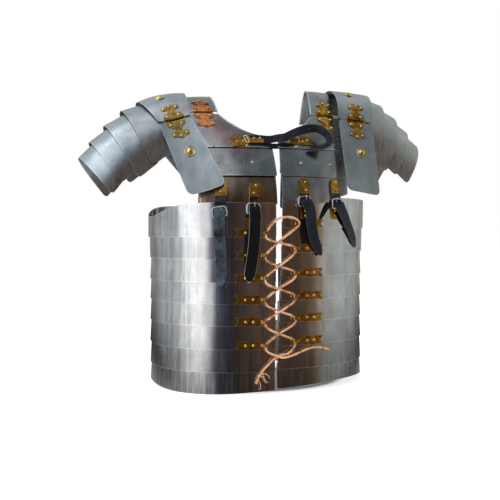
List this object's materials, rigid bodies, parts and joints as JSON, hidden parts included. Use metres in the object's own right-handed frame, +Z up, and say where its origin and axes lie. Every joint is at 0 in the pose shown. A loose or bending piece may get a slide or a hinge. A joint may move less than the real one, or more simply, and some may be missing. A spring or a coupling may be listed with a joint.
{
  "type": "lorica segmentata",
  "caption": "Laminated cuirass of sheet steel hoops, breast and back plates and shoulder lames, with brass hinges and ties, buckled black straps and a front lace",
  "frame": {"origin": "between the wearer's shoulders, at the height of the underside of the shoulder plates, in the middle from front to back", "axes": "+Z up; the front faces -Y; the wearer's left is +X"},
  "size_m": [0.627, 0.2844, 0.5331],
  "materials": {
    "mild_steel": "polished sheet with light streaks and handling marks",
    "brass": "cut sheet, slightly tarnished",
    "black_leather": "smooth, waxed",
    "tan_lace": "matt rolled thong"
  },
  "bodies": {
    "armour": {"hoop_1_right": "mild_steel", "hoop_2_right": "mild_steel", "hoop_3_right": "mild_steel", "hoop_4_right": "mild_steel", "hoop_5_right": "mild_steel", "hoop_6_right": "mild_steel", "hoop_7_right": "mild_steel", "hoop_8_right": "mild_steel", "breast_collar_right": "mild_steel", "breast_band_right": "mild_steel", "breast_lower_right": "mild_steel", "back_upper_right": "mild_steel", "back_lower_right": "mild_steel", "shoulder_right": "mild_steel", "guard_top_right": "mild_steel", "collar_hinge_front_right": "brass", "collar_hinge_back_right": "brass", "lame_1_right": "mild_steel", "lame_2_right": "mild_steel", "lame_3_right": "mild_steel", "lame_4_right": "mild_steel", "hoop_1_left": "mild_steel", "hoop_2_left": "mild_steel", "hoop_3_left": "mild_steel", "hoop_4_left": "mild_steel", "hoop_5_left": "mild_steel", "hoop_6_left": "mild_steel", "hoop_7_left": "mild_steel", "hoop_8_left": "mild_steel", "breast_collar_left": "mild_steel", "breast_band_left": "mild_steel", "breast_lower_left": "mild_steel", "back_upper_left": "mild_steel", "back_lower_left": "mild_steel", "shoulder_left": "mild_steel", "guard_top_left": "mild_steel", "collar_hinge_front_left": "brass", "collar_hinge_back_left": "brass", "lame_1_left": "mild_steel", "lame_2_left": "mild_steel", "lame_3_left": "mild_steel", "lame_4_left": "mild_steel", "strap_outer_right": "black_leather", "strap_inner_right": "black_leather", "strap_inner_left": "black_leather", "strap_outer_left": "black_leather", "strap_collar": "black_leather", "strap_back_right": "black_leather", "strap_back_left": "black_leather", "lace": "tan_lace"},
    "guard_strip_front_right": {"guard_front_right": "mild_steel", "guard_hinge_front_right": "brass"},
    "guard_strip_back_right": {"guard_back_right": "mild_steel", "guard_hinge_back_right": "brass"},
    "guard_strip_front_left": {"guard_front_left": "mild_steel", "guard_hinge_front_left": "brass"},
    "guard_strip_back_left": {"guard_back_left": "mild_steel", "guard_hinge_back_left": "brass"}
  },
  "joints": [
    {"name": "guard_strip_front_right_hinge", "type": "hinge", "parent": "armour", "child": "guard_strip_front_right", "pos_m": [-0.16241, -0.07996, -0.06765], "axis": [-0.9642, 0.0362, -0.2627], "range_deg": [0, 35]},
    {"name": "guard_strip_back_right_hinge", "type": "hinge", "parent": "armour", "child": "guard_strip_back_right", "pos_m": [-0.15933, 0.08211, -0.07291], "axis": [0.8701, -0.037, 0.4915], "range_deg": [0, 35]},
    {"name": "guard_strip_front_left_hinge", "type": "hinge", "parent": "armour", "child": "guard_strip_front_left", "pos_m": [0.16179, -0.07992, -0.05836], "axis": [-0.9915, -0.0307, 0.1266], "range_deg": [0, 35]},
    {"name": "guard_strip_back_left_hinge", "type": "hinge", "parent": "armour", "child": "guard_strip_back_left", "pos_m": [0.16168, 0.07996, -0.05836], "axis": [0.9915, -0.0312, -0.1267], "range_deg": [0, 35]}
  ]
}
